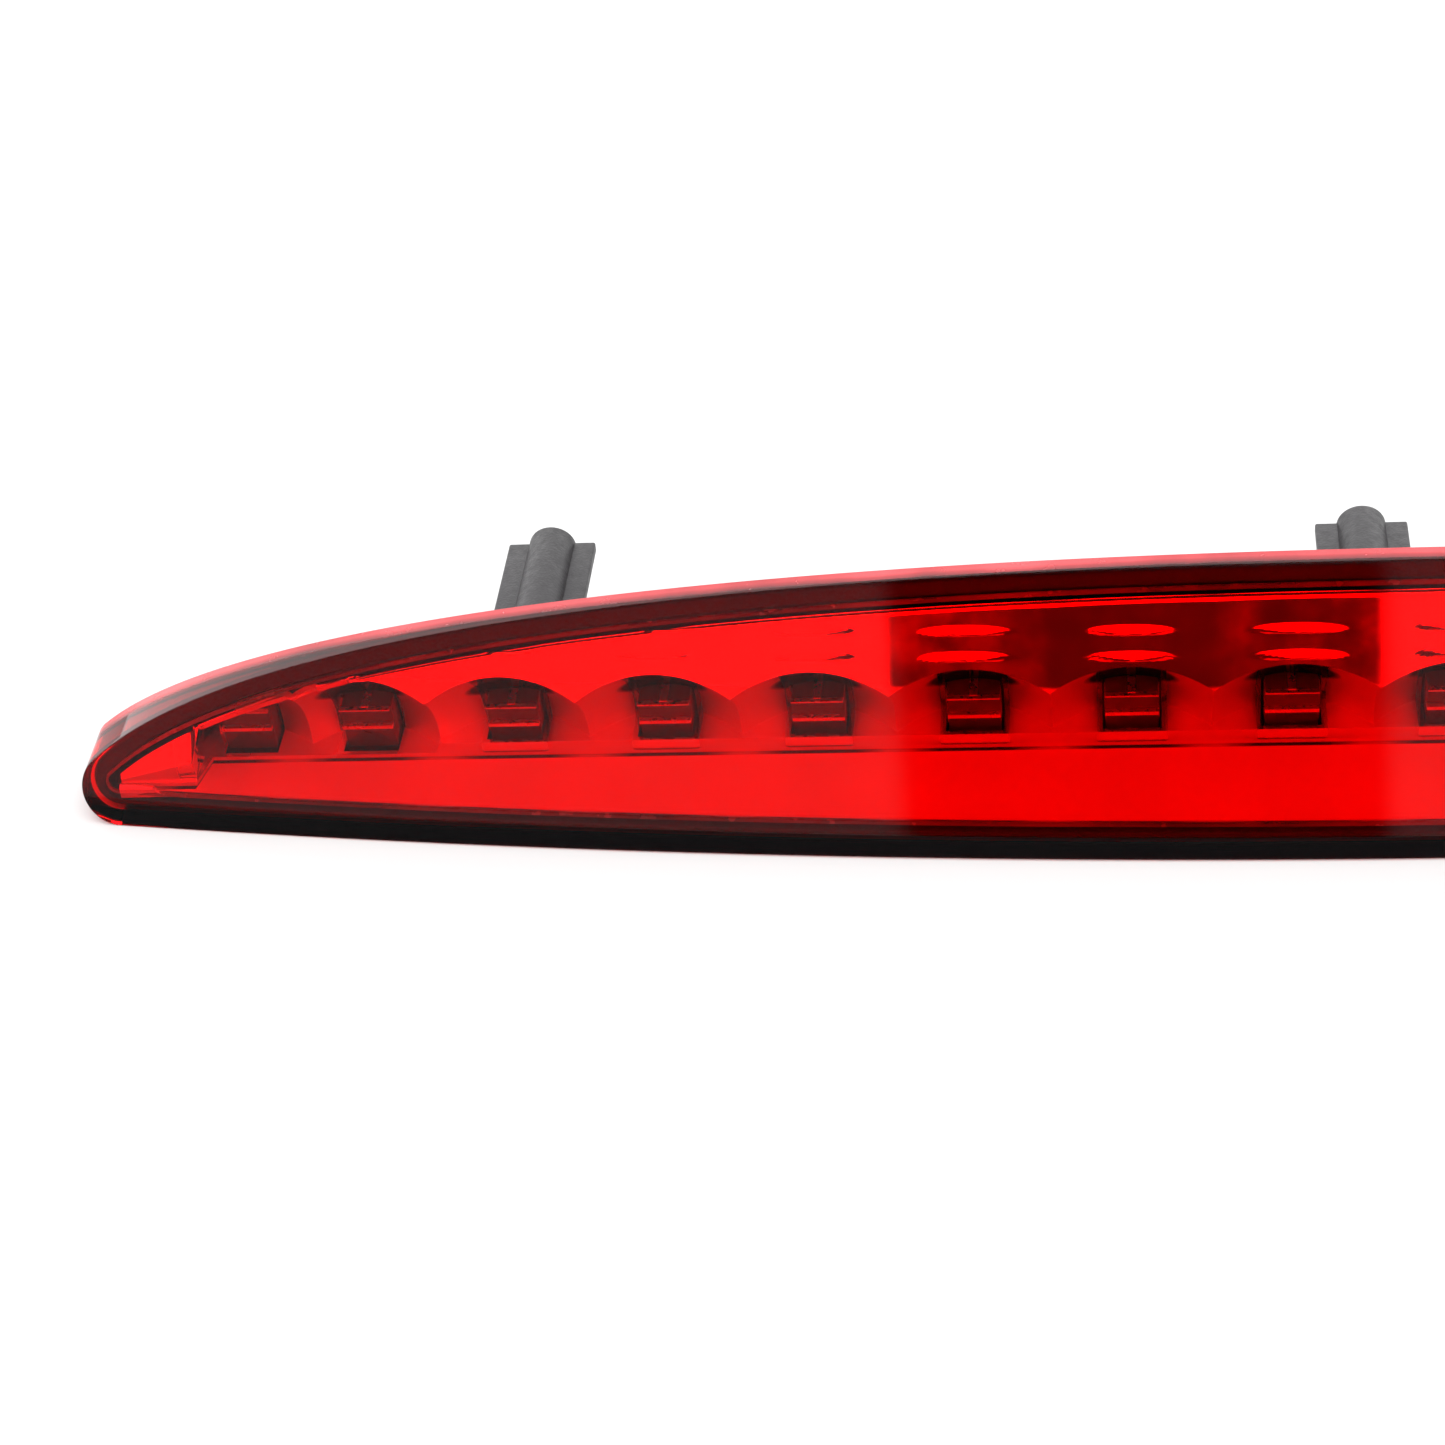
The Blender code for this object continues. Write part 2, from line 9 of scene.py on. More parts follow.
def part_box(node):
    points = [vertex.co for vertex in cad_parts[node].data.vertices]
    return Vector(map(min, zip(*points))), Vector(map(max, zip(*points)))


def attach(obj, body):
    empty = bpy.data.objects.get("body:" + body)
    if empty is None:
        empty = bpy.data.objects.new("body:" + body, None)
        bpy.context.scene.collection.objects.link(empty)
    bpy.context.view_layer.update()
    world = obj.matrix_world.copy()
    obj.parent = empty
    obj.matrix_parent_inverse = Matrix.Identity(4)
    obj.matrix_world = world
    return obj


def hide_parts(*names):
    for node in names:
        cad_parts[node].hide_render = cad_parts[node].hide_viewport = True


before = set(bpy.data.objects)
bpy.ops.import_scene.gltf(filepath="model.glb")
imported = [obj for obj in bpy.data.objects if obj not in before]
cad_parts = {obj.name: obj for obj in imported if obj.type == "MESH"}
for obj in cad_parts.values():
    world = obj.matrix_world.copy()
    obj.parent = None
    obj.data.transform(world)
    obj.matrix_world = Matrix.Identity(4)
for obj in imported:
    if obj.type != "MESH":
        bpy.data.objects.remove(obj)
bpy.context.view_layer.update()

MM = 0.001

# ---------------------------------------------------------------- places, from the frame

WHOLE_DEPTH = 51.5 * MM
LENS_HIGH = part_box("outer_lens")[1]
BOSS_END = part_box("rear_housing")[1][1]
REFLECTOR_END_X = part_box("reflector")[1][0]
Y_FRONT = BOSS_END - WHOLE_DEPTH
HALF_LENGTH = LENS_HIGH[0]
HEIGHT = LENS_HIGH[2]
LENS_BACK = LENS_HIGH[1]
LED_BOXES = [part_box(f"led_{number:02d}") for number in range(1, 17)]
LED_XS = [(low[0] + high[0]) / 2 for low, high in LED_BOXES]
LED_Z = (LED_BOXES[0][0][2] + LED_BOXES[0][1][2]) / 2
LED_HALF = (LED_BOXES[0][1][2] - LED_BOXES[0][0][2]) / 2

# LED: square body, low dome, bars across its front and a strip along its top
LED_FRONT = Y_FRONT + 22.7 * MM
LED_SOFT_EDGE = 0.35 * MM
DOME_RADIUS = 2.35 * MM
DOME_SETBACK = 2.0 * MM
# Each bar: height above the LED's middle, half its own height
LED_BARS = ((0.55 * MM, 0.3 * MM), (LED_HALF - 0.1 * MM, 0.12 * MM))
BAR_SIDE_MARGIN = 0.1 * MM
BAR_DEPTH = 0.8 * MM
BAR_FORWARD = 0.3 * MM
STRIP_HALF_WIDTH = 0.55 * MM
STRIP_HEIGHT = 0.2 * MM

# Outline: an arched top that runs into a small round tip at each end
TIP_RADIUS = 5.0 * MM
TIP_CENTRE_X = HALF_LENGTH - TIP_RADIUS
TIP_JOIN_X = 182.7 * MM
ARCH_HALF = 191.0 * MM
ARCH_DROP = 46.8 * MM
ARCH_POWER_X = 2.22
ARCH_POWER_Z = 2.77
ARCH_POINTS = 90
ARC_POINTS = 20
SLOPE_STEP = 0.2 * MM
REAR_TOP = 26.5 * MM
REAR_HALF = 180.0 * MM
REAR_DROP = 34.0 * MM
REAR_TIP_CENTRE_X = 170.4 * MM
REAR_TIP_RADIUS = 3.0 * MM
REAR_JOIN_X = 172.5 * MM

# Lens face
PLAN_RADIUS = 1547 * MM
FACE_LEAN = 0.576
FACE_CROWN = 2.0 * MM
LENS_PLATE = 2.5 * MM
LENS_SKIRT = 1.1 * MM
LENS_SECTIONS = 260
OUTER_ROUNDING = 0.9 * MM
INNER_ROUNDING = 0.5 * MM
CLOUDY_EDGE = 2.1 * MM
RIB_INSET = 3.45 * MM
RIB_WIDTH = 0.35 * MM
RIB_DEPTH = 0.35 * MM
GAP = 0.3 * MM

# Housing
RIM_INSET = 1.5 * MM
RIM_WALL = 1.9 * MM
RIM_FLOOR_WALL = 1.0 * MM
FLANGE_INSET = 0.9 * MM
FLANGE_TAPER = 1.2 * MM
FLANGE_FLOOR = 0.8 * MM
FLANGE_FRONT = Y_FRONT + 24.0 * MM
FLANGE_BACK = Y_FRONT + 25.4 * MM
HOUSING_BACK = Y_FRONT + 32.8 * MM
HOUSING_WALL = 1.4 * MM
BOSS_XS = (-118.0 * MM, 0.0, 118.0 * MM)
BOSS_Z = 18.0 * MM
BOSS_RADIUS = 3.5 * MM
BOSS_HOLE_RADIUS = 1.6 * MM
BOSS_HOLE_DEPTH = 14.0 * MM
WING_REACH = 6.5 * MM
WING_THICKNESS = 1.6 * MM
WING_END = BOSS_END - 0.5 * MM
RIM_SOFT_EDGE = 0.3 * MM
BOSS_SOFT_EDGE = 0.35 * MM
WING_SOFT_EDGE = 0.3 * MM

# Reflector
SHELF_Z = 3.9 * MM
RISER_Y = Y_FRONT + 20.5 * MM
RISER_TOP_Z = 6.2 * MM
GROOVE_WIDTH = 0.9 * MM
GROOVE_DEPTH = 0.45 * MM
DISH_VERTEX_Y = Y_FRONT + 27.3 * MM
DISH_AXIS_Z = 6.8 * MM
DISH_FOCAL_4 = 20.0 * MM        # four focal lengths
DISH_SATIN_TOP = 20.4 * MM
CELL_PITCH = 22.0 * MM
ALMOND_Z = 13.0 * MM            # painted dark patch above each LED: shade and the LED's dark reflection
ALMOND_HALF_X = 6.4 * MM
ALMOND_HALF_Z = 2.6 * MM
END_LEDGE_Y = Y_FRONT + 15.5 * MM
LEDGE_CLEARANCE = 3.4 * MM
REFLECTOR_INSET = 5.0 * MM
REFLECTOR_END_REACH = 2.6 * MM
SHEET_THICKNESS = 0.8 * MM
SHEET_FRONT_GAP = 0.6 * MM
LED_OPENING_DEPTHS = (Y_FRONT + 21.2 * MM, Y_FRONT + 30.0 * MM)
LEDGE_HOLLOW_RADIUS = 800.0 * MM
PILLOW_ZS = (23.9 * MM, 26.8 * MM)
PILLOW_REACH_X = 5.8 * MM
PILLOW_REACH_Z = 0.55 * MM
PILLOW_SLOPE = 0.25
PILLOW_RETURN = 0.2 * MM
LIP_HEIGHT = 0.5 * MM
CELL_EDGES_HALF = [CELL_PITCH * i for i in range(7)] + [151.5 * MM, 166.0 * MM]

# Stage: bright studio with a darker area in front of the lens. The area is set by direction:
# lowest and highest X, and lowest and highest Z, each with its softness, and the Y it starts at
FLOOR_HALF = 3.0
FLOOR_GREY = 0.42
STUDIO_STRENGTH = 2.8
DARK_STRENGTH = 0.09
DARK_ACROSS = (-0.148, 0.085, 0.012)
DARK_UPWARDS = (-0.02, 0.66, 0.04)
DARK_FRONT = (-0.4, -0.1)
CAMERA_SENSOR = 36.0
CAMERA_LENS = 74.74
CAMERA_TURN = math.radians(10.14)
CAMERA_TILT = math.radians(90 - 40)
CAMERA_ROLL = math.radians(-7.56)
CAMERA_PLACE = (-0.0332, Y_FRONT - 0.3006, 0.2828)


# ---------------------------------------------------------------- node materials

class Nodes:
    """A material's node tree with short calls for the nodes used here."""

    def __init__(self, name):
        self.material = bpy.data.materials.new(name)
        self.material.use_nodes = True
        self.tree = self.material.node_tree
        self.shader = self.tree.nodes["Principled BSDF"]
        coords = self.tree.nodes.new("ShaderNodeTexCoord")
        self.place = coords.outputs["Object"]

    def link(self, source, socket):
        self.tree.links.new(source, socket)

    def split_place(self):
        """Node with the X, Y and Z of the place on the piece, in metres."""
        split = self.tree.nodes.new("ShaderNodeSeparateXYZ")
        self.link(self.place, split.inputs["Vector"])
        return split

    def noise(self, scale, detail=3.0, roughness=0.55, stretch=None):
        texture = self.tree.nodes.new("ShaderNodeTexNoise")
        texture.inputs["Scale"].default_value = scale
        texture.inputs["Detail"].default_value = detail
        texture.inputs["Roughness"].default_value = roughness
        source = self.place
        if stretch:
            mapping = self.tree.nodes.new("ShaderNodeMapping")
            mapping.inputs["Scale"].default_value = stretch
            self.link(source, mapping.inputs["Vector"])
            source = mapping.outputs["Vector"]
        self.link(source, texture.inputs["Vector"])
        return texture.outputs["Fac"]

    def ramp(self, source, stops):
        ramp = self.tree.nodes.new("ShaderNodeValToRGB")
        elements = ramp.color_ramp.elements
        while len(elements) < len(stops):
            elements.new(0.5)
        for element, (position, colour) in zip(elements, stops):
            element.position = position
            element.color = (*colour, 1.0) if len(colour) == 3 else colour
        self.link(source, ramp.inputs["Fac"])
        return ramp.outputs["Color"]

    def between(self, source, low, high, to_low, to_high):
        """The source's span low..high mapped to to_low..to_high, held at both ends."""
        span = self.tree.nodes.new("ShaderNodeMapRange")
        span.inputs["From Min"].default_value = low
        span.inputs["From Max"].default_value = high
        span.inputs["To Min"].default_value = to_low
        span.inputs["To Max"].default_value = to_high
        self.link(source, span.inputs["Value"])
        return span.outputs["Result"]

    def spread(self, source, low, high):
        """A noise, mapped from its middle range to low..high."""
        return self.between(source, 0.3, 0.7, low, high)

    def math(self, operation, first, second=None):
        """A maths node; either side may be a socket or a number."""
        node = self.tree.nodes.new("ShaderNodeMath")
        node.operation = operation
        for value, socket in zip((first, second), node.inputs):
            if isinstance(value, (int, float)):
                socket.default_value = value
            elif value is not None:
                self.link(value, socket)
        return node.outputs["Value"]

    def mix(self, share, first, second):
        """Colour between first (share 0, a socket) and second (share 1, a colour)."""
        node = self.tree.nodes.new("ShaderNodeMix")
        node.data_type = "RGBA"
        self.link(share, node.inputs["Factor"])
        self.link(first, node.inputs[6])
        node.inputs[7].default_value = (*second, 1.0)
        return node.outputs[2]

    def bump(self, source, strength, distance):
        bump = self.tree.nodes.new("ShaderNodeBump")
        bump.inputs["Strength"].default_value = strength
        bump.inputs["Distance"].default_value = distance
        self.link(source, bump.inputs["Height"])
        self.link(bump.outputs["Normal"], self.shader.inputs["Normal"])

    def set(self, **values):
        for name, value in values.items():
            self.shader.inputs[name.replace("_", " ")].default_value = value


def red_acrylic():
    n = Nodes("red_acrylic")
    n.set(Metallic=0.0, IOR=1.49)
    n.shader.inputs["Transmission Weight"].default_value = 1.0
    n.shader.inputs["Specular Tint"].default_value = (0.12, 0.12, 0.12, 1.0)
    tint = n.ramp(n.noise(30, 2.0), [(0.3, (0.96, 0.003, 0.005)), (0.7, (0.985, 0.005, 0.008))])
    n.link(tint, n.shader.inputs["Base Color"])
    n.link(n.spread(n.noise(220, 4.0), 0.006, 0.03), n.shader.inputs["Roughness"])
    return n.material


def red_edge():
    """The side wall of the lens: the same plastic seen edge-on, cloudier and pinkish, with a painted
    glow that brightens it towards the back edge.
    """
    n = Nodes("red_acrylic_edge")
    n.set(Metallic=0.0, IOR=1.49)
    n.shader.inputs["Transmission Weight"].default_value = 0.35
    n.shader.inputs["Specular Tint"].default_value = (0.5, 0.5, 0.5, 1.0)
    split = n.split_place()
    front = LENS_BACK - CLOUDY_EDGE
    # painted glow: the colour rises towards the lens's back edge, standing in for light let in there
    painted_back_glow = n.between(split.outputs["Y"], front + 0.2 * MM, front + 1.2 * MM, 0.0, 0.5)
    patches = n.spread(n.noise(55, 4.0, stretch=(1.0, 0.3, 0.3)), 0.0, 0.5)
    tint = n.ramp(n.math("ADD", painted_back_glow, patches),
                  [(0.1, (0.11, 0.006, 0.008)), (0.55, (0.36, 0.02, 0.026)), (0.95, (0.6, 0.06, 0.07))])
    n.link(tint, n.shader.inputs["Base Color"])
    n.link(n.spread(n.noise(300, 4.0), 0.15, 0.3), n.shader.inputs["Roughness"])
    return n.material


def black_plastic():
    n = Nodes("black_plastic")
    n.shader.inputs["Specular IOR Level"].default_value = 0.28
    tint = n.ramp(n.noise(60, 4.0), [(0.3, (0.009, 0.008, 0.009)), (0.7, (0.016, 0.014, 0.016))])
    n.link(tint, n.shader.inputs["Base Color"])
    n.link(n.spread(n.noise(900, 3.0), 0.34, 0.52), n.shader.inputs["Roughness"])
    n.bump(n.noise(2600, 2.0), 0.25, 0.0002)
    return n.material


def from_cell_middle(n, split):
    """Distance along the lamp to the nearest LED of the 22 mm rows."""
    repeat = n.math("PINGPONG", split.outputs["X"], CELL_PITCH / 2)
    return n.math("SUBTRACT", CELL_PITCH / 2, repeat)


def dish_satin(n, split):
    """Extra roughness on the dish sides, below the ledge and away from the LED of each cell."""
    sides = n.between(from_cell_middle(n, split), 4.4 * MM, 5.4 * MM, 0.0, 0.38)
    below = n.between(split.outputs["Z"], DISH_SATIN_TOP - 0.8 * MM, DISH_SATIN_TOP, 1.0, 0.0)
    return n.math("MULTIPLY", sides, below)


def dish_painted_shade(n, split):
    """Share of painted shade: a dark almond above each LED, standing in for the shaded dish and the
    LED's dark reflection, and a dark groove at the riser's foot, darkest near the LEDs.
    """
    aside = n.math("DIVIDE", from_cell_middle(n, split), ALMOND_HALF_X)
    above = n.math("DIVIDE", n.math("SUBTRACT", split.outputs["Z"], ALMOND_Z), ALMOND_HALF_Z)
    away = n.math("ADD", n.math("MULTIPLY", aside, aside), n.math("MULTIPLY", above, above))
    # painted shade: a dark almond above each LED, for the shaded dish and the LED's dark reflection
    almond = n.between(away, 0.8, 1.1, 1.0, 0.0)
    along = n.math("ABSOLUTE", split.outputs["X"])
    almond = n.math("MULTIPLY", almond, n.math("LESS_THAN", along, CELL_EDGES_HALF[-2]))
    # painted shade in the groove at the riser's foot, strongest near each LED
    foot = n.between(split.outputs["Z"], SHELF_Z - 0.25 * MM, SHELF_Z - 0.1 * MM, 1.0, 0.0)
    near = n.between(from_cell_middle(n, split), 5.0 * MM, 9.5 * MM, 1.0, 0.3)
    return n.math("MAXIMUM", almond, n.math("MULTIPLY", foot, near))


def mirror_coating():
    """Mirror above the shelf, satin on the shelf and on the sides of the dishes, with painted shade in
    its colour.
    """
    n = Nodes("mirror_coating")
    split = n.split_place()
    tint = n.ramp(n.noise(35, 3.0), [(0.3, (0.86, 0.85, 0.84)), (0.7, (0.93, 0.93, 0.93))])
    # painted shade: the colour turns near black in the almond above each LED and in the riser's groove
    n.link(n.mix(dish_painted_shade(n, split), tint, (0.05, 0.05, 0.05)), n.shader.inputs["Base Color"])
    shelf = n.between(split.outputs["Z"], SHELF_Z + 0.2 * MM, SHELF_Z + 0.6 * MM, 0.5, 0.0)
    fine = n.spread(n.noise(160, 4.0), 0.06, 0.14)
    rough = n.math("ADD", n.math("ADD", shelf, fine), dish_satin(n, split))
    n.link(rough, n.shader.inputs["Roughness"])
    metal = n.between(split.outputs["Z"], SHELF_Z + 0.2 * MM, SHELF_Z + 0.6 * MM, 0.15, 1.0)
    n.link(metal, n.shader.inputs["Metallic"])
    return n.material


def simple(name, dark, light, rough_low, rough_high, grain=900, metallic=0.0, bump=0.1):
    """A moulded, painted or metal finish with fine colour and gloss variation."""
    n = Nodes(name)
    tint = n.ramp(n.noise(grain / 6, 4.0), [(0.3, dark), (0.7, light)])
    n.link(tint, n.shader.inputs["Base Color"])
    n.set(Metallic=metallic)
    n.link(n.spread(n.noise(grain, 3.0), rough_low, rough_high), n.shader.inputs["Roughness"])
    n.bump(n.noise(grain * 2, 2.0), bump, 0.0001)
    return n.material


RED_ACRYLIC = red_acrylic()
RED_EDGE = red_edge()
BLACK_PLASTIC = black_plastic()
MIRROR = mirror_coating()
BOARD = simple("board_laminate", (0.015, 0.10, 0.035), (0.03, 0.17, 0.06), 0.35, 0.55)
LED_EPOXY = simple("led_epoxy", (0.06, 0.012, 0.012), (0.10, 0.02, 0.02), 0.12, 0.2, bump=0.02)
LEAD_FRAME = simple("led_lead_frame", (0.75, 0.74, 0.72), (0.92, 0.91, 0.9), 0.2, 0.4, metallic=1.0)
CHIP_BLACK = simple("chip_body", (0.02, 0.02, 0.022), (0.05, 0.05, 0.055), 0.35, 0.6)
CERAMIC = simple("capacitor_ceramic", (0.35, 0.22, 0.11), (0.50, 0.34, 0.19), 0.4, 0.6)
BRASS = simple("terminal_brass", (0.62, 0.42, 0.18), (0.86, 0.66, 0.36), 0.2, 0.38, metallic=1.0)
STEEL = simple("screw_steel", (0.48, 0.48, 0.50), (0.68, 0.68, 0.70), 0.25, 0.45, metallic=1.0)
RUBBER = simple("seal_rubber", (0.012, 0.012, 0.012), (0.03, 0.03, 0.03), 0.65, 0.9, bump=0.3)
MEMBRANE = simple("vent_membrane", (0.13, 0.13, 0.125), (0.20, 0.20, 0.195), 0.7, 0.95, bump=0.4)
NYLON = simple("black_nylon", (0.014, 0.014, 0.014), (0.03, 0.03, 0.03), 0.35, 0.55)


# ---------------------------------------------------------------- outline and face

def arch_height(x, top=HEIGHT, half=ARCH_HALF, drop=ARCH_DROP):
    fall = 1 - (abs(x) / half) ** ARCH_POWER_X
    return top - drop * (1 - fall ** (1 / ARCH_POWER_Z))


def arch_slope(x, step):
    return (arch_height(abs(x) + step) - arch_height(abs(x) - step)) / (2 * step)


def outline_heights(x, inwards=0.0):
    """Bottom and top of the lens outline at x, or of the outline moved inwards."""
    away = abs(x) - TIP_CENTRE_X
    top = arch_height(x) - inwards * math.hypot(1, arch_slope(x, SLOPE_STEP))
    if away <= 0:
        return inwards, top
    side = math.sqrt(max((TIP_RADIUS - inwards) ** 2 - away ** 2, 0.0))
    join = (TIP_JOIN_X - TIP_CENTRE_X) * (TIP_RADIUS - inwards) / TIP_RADIUS
    return TIP_RADIUS - side, top if away < join else TIP_RADIUS + side


def face_depth(x, z):
    """World y of the outer lens face."""
    share = z / HEIGHT
    return (Y_FRONT + x * x / (2 * PLAN_RADIUS) + FACE_LEAN * z
            - 4 * FACE_CROWN * share * (1 - share))


def half_outline(arch, tip_centre_x, tip_radius, join_x, bottom, arch_points, arc_points):
    """Right half of an outline, from the bottom of the tip's arc to the top middle."""
    start = -math.pi / 2
    end = math.atan2(arch(join_x) - bottom - tip_radius, join_x - tip_centre_x)
    points = []
    for i in range(arc_points):
        angle = start + (end - start) * i / arc_points
        points.append((tip_centre_x + tip_radius * math.cos(angle),
                       bottom + tip_radius * (1 + math.sin(angle))))
    for i in range(arch_points + 1):
        x = join_x * math.cos(math.pi / 2 * i / arch_points)
        points.append((x, arch(x)))
    return points


def full_outline(half, bottom_points=48):
    """The whole outline, with points along its straight bottom too."""
    whole = half + [(-x, z) for x, z in reversed(half[:-1])]
    left, right = whole[-1], whole[0]
    for i in range(1, bottom_points):
        whole.append((left[0] + (right[0] - left[0]) * i / bottom_points, left[1]))
    return whole


def lens_outline():
    return full_outline(half_outline(arch_height, TIP_CENTRE_X, TIP_RADIUS, TIP_JOIN_X,
                                     0.0, ARCH_POINTS, ARC_POINTS))


def rear_outline():
    def arch(x):
        return arch_height(x, REAR_TOP, REAR_HALF, REAR_DROP)
    return full_outline(half_outline(arch, REAR_TIP_CENTRE_X, REAR_TIP_RADIUS, REAR_JOIN_X,
                                     FLANGE_FLOOR, ARCH_POINTS, ARC_POINTS))


def inset(outline, amount):
    """The outline moved inwards."""
    count = len(outline)
    moved = []
    for i, (x, z) in enumerate(outline):
        ahead = outline[(i + 1) % count]
        behind = outline[i - 1]
        along = Vector((ahead[0] - behind[0], ahead[1] - behind[1])).normalized()
        moved.append((x - along.y * amount, z + along.x * amount))
    return moved


def lower_floor(outline, floor, reach=8 * MM):
    """The outline with its bottom stretched down to a new floor height."""
    lowest = min(z for _, z in outline)
    return [(x, z - max(0.0, 1 - (z - lowest) / reach) * (lowest - floor)) for x, z in outline]


# ---------------------------------------------------------------- mesh helpers

def finish_mesh(name, bm, mat, smooth_angle=35):
    """Clean the bmesh and make it an object, smooth but sharp past the angle."""
    bmesh.ops.remove_doubles(bm, verts=bm.verts, dist=0.001 * MM)
    bmesh.ops.dissolve_degenerate(bm, dist=0.001 * MM, edges=bm.edges)
    bmesh.ops.recalc_face_normals(bm, faces=bm.faces)
    mesh = bpy.data.meshes.new(name)
    bm.to_mesh(mesh)
    bm.free()
    mesh.materials.append(mat)
    obj = bpy.data.objects.new(name, mesh)
    bpy.context.scene.collection.objects.link(obj)
    mesh.shade_smooth()
    mesh.set_sharp_from_angle(angle=math.radians(smooth_angle))
    return obj


def ring_chain(bm, loops):
    """Join loops of the same point count by quads; the first and last loops are capped."""
    rows = [[bm.verts.new(point) for point in loop] for loop in loops]
    for first, second in zip(rows, rows[1:]):
        for i in range(len(first)):
            bm.faces.new((first[i - 1], first[i], second[i], second[i - 1]))
    bm.faces.new(rows[0])
    bm.faces.new(list(reversed(rows[-1])))


def keep(obj, slot_name, *nodes):
    """Put a visible piece on the lamp's body, in place of CAD nodes; slot_name is not used."""
    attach(obj, "root")
    if nodes:
        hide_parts(*nodes)
    return obj


def apply_boolean(obj, cutter, operation):
    mod = obj.modifiers.new("join", "BOOLEAN")
    mod.object = cutter
    mod.operation = operation
    mod.solver = "MANIFOLD"
    evaluated = obj.evaluated_get(bpy.context.evaluated_depsgraph_get())
    mesh = bpy.data.meshes.new_from_object(evaluated)
    obj.modifiers.remove(mod)
    obj.data = mesh
    bpy.data.objects.remove(cutter)


# ---------------------------------------------------------------- lens

def rounded_corner(before, corner, after, radius, steps=5):
    """Points of a soft corner between two neighbours of a corner point."""
    before, corner, after = (Vector(p) for p in (before, corner, after))
    to_before = before - corner
    to_after = after - corner
    reach_before = min(radius, 0.45 * to_before.length)
    reach_after = min(radius, 0.45 * to_after.length)
    start = corner + (to_before.normalized() * reach_before if to_before.length else to_before)
    end = corner + (to_after.normalized() * reach_after if to_after.length else to_after)
    points = []
    for i in range(steps + 1):
        t = i / steps
        points.append(tuple((1 - t) ** 2 * start + 2 * t * (1 - t) * corner + t * t * end))
    return points


def lens_section(x, bottom, top, offset, radius, face_steps=26, skirt_steps=3):
    """Profile (y, z) of the lens wall at x, from the back of its bottom to the back of its top."""
    low_front = (face_depth(x, bottom) + offset, bottom)
    high_front = (face_depth(x, top) + offset, top)
    face = []
    for i in range(1, face_steps):
        z = bottom + (top - bottom) * i / face_steps
        face.append((face_depth(x, z) + offset, z))

    def skirt(front):
        cloudy = max(LENS_BACK - CLOUDY_EDGE, front + 0.1 * (LENS_BACK - front))
        clear = [cloudy + (front - cloudy) * 0.9 * i / skirt_steps for i in range(skirt_steps + 1)]
        return [LENS_BACK] + clear

    low_skirt = [(y, bottom) for y in skirt(low_front[0])]
    high_skirt = [(y, top) for y in reversed(skirt(high_front[0]))]
    return (low_skirt + rounded_corner(low_skirt[-1], low_front, face[0], radius)
            + face + rounded_corner(face[-1], high_front, high_skirt[0], radius) + high_skirt)


def build_lens():
    """Closed wall: outer skin, inner skin, and the ring that joins them at the back."""
    inner_share = (HALF_LENGTH - LENS_SKIRT) / HALF_LENGTH
    bm = bmesh.new()
    outer, inner = [], []
    for i in range(LENS_SECTIONS + 1):
        x = HALF_LENGTH * math.sin(math.pi * (i / LENS_SECTIONS - 0.5))
        bottom, top = outline_heights(x)
        outer.append([bm.verts.new((x, y, z))
                      for y, z in lens_section(x, bottom, top, 0.0, OUTER_ROUNDING)])
        inner_x = x * inner_share
        bottom, top = outline_heights(inner_x, LENS_SKIRT)
        inner.append([bm.verts.new((inner_x, y, z))
                      for y, z in lens_section(inner_x, bottom, top, LENS_PLATE, INNER_ROUNDING)])
    for skin in (outer, inner):
        for first, second in zip(skin, skin[1:]):
            for j in range(len(first) - 1):
                face = bm.faces.new((first[j], first[j + 1], second[j + 1], second[j]))
                face.material_index = int(j < 1 or j >= len(first) - 2)
    for side in (0, -1):
        for i in range(LENS_SECTIONS):
            face = bm.faces.new((outer[i][side], outer[i + 1][side],
                                 inner[i + 1][side], inner[i][side]))
            face.material_index = 1
    lens = finish_mesh("lens_shell", bm, RED_ACRYLIC, 40)
    lens.data.materials.append(RED_EDGE)
    return keep(lens, "red_acrylic", "outer_lens")


def build_lens_rib():
    """Locating rib behind the lens face, just inside the housing rim."""
    outside = inset(lens_outline(), RIB_INSET)
    inside = inset(lens_outline(), RIB_INSET + RIB_WIDTH)
    near = LENS_PLATE - 0.1 * MM
    far = LENS_PLATE + RIB_DEPTH
    bm = bmesh.new()
    loops = [face_loop(outside, near), face_loop(outside, far), face_loop(inside, far),
             face_loop(inside, near)]
    rows = [[bm.verts.new(point) for point in loop] for loop in loops]
    for first, second in zip(rows, rows[1:] + rows[:1]):
        for i in range(len(first)):
            bm.faces.new((first[i - 1], first[i], second[i], second[i - 1]))
    rib = finish_mesh("lens_rib", bm, RED_EDGE)
    return keep(rib, "red_acrylic")


# ---------------------------------------------------------------- housing

def flat_loop(outline, y):
    return [(x, y, z) for x, z in outline]


def face_loop(outline, offset):
    return [(x, face_depth(x, z) + offset, z) for x, z in outline]


def rod_piece(x, z, radius, y_low, y_high, segments=40, round_end=0.0):
    """A rod along Y with a softened far end, as a bmesh object for joining or cutting."""
    bm = bmesh.new()
    stations = [(y_low, radius), (y_high - round_end, radius)]
    for i in range(1, 4):
        angle = math.pi / 2 * i / 3
        if round_end:
            stations.append((y_high - round_end * (1 - math.sin(angle)),
                             radius - round_end * (1 - math.cos(angle))))
    loops = []
    for y, r in stations:
        loops.append([(x + r * math.cos(2 * math.pi * k / segments), y,
                       z + r * math.sin(2 * math.pi * k / segments)) for k in range(segments)])
    ring_chain(bm, loops)
    return finish_mesh("rod_tool", bm, BLACK_PLASTIC)


def box_piece(low, high, soften=0.0):
    bm = bmesh.new()
    low, high = Vector(low), Vector(high)
    size = Matrix.Diagonal((*(high - low), 1.0))
    bmesh.ops.create_cube(bm, size=1.0, matrix=Matrix.Translation((low + high) / 2) @ size)
    if soften:
        bmesh.ops.bevel(bm, geom=bm.edges[:], offset=soften, segments=3, profile=0.5,
                        affect="EDGES")
    return finish_mesh("box_tool", bm, BLACK_PLASTIC)


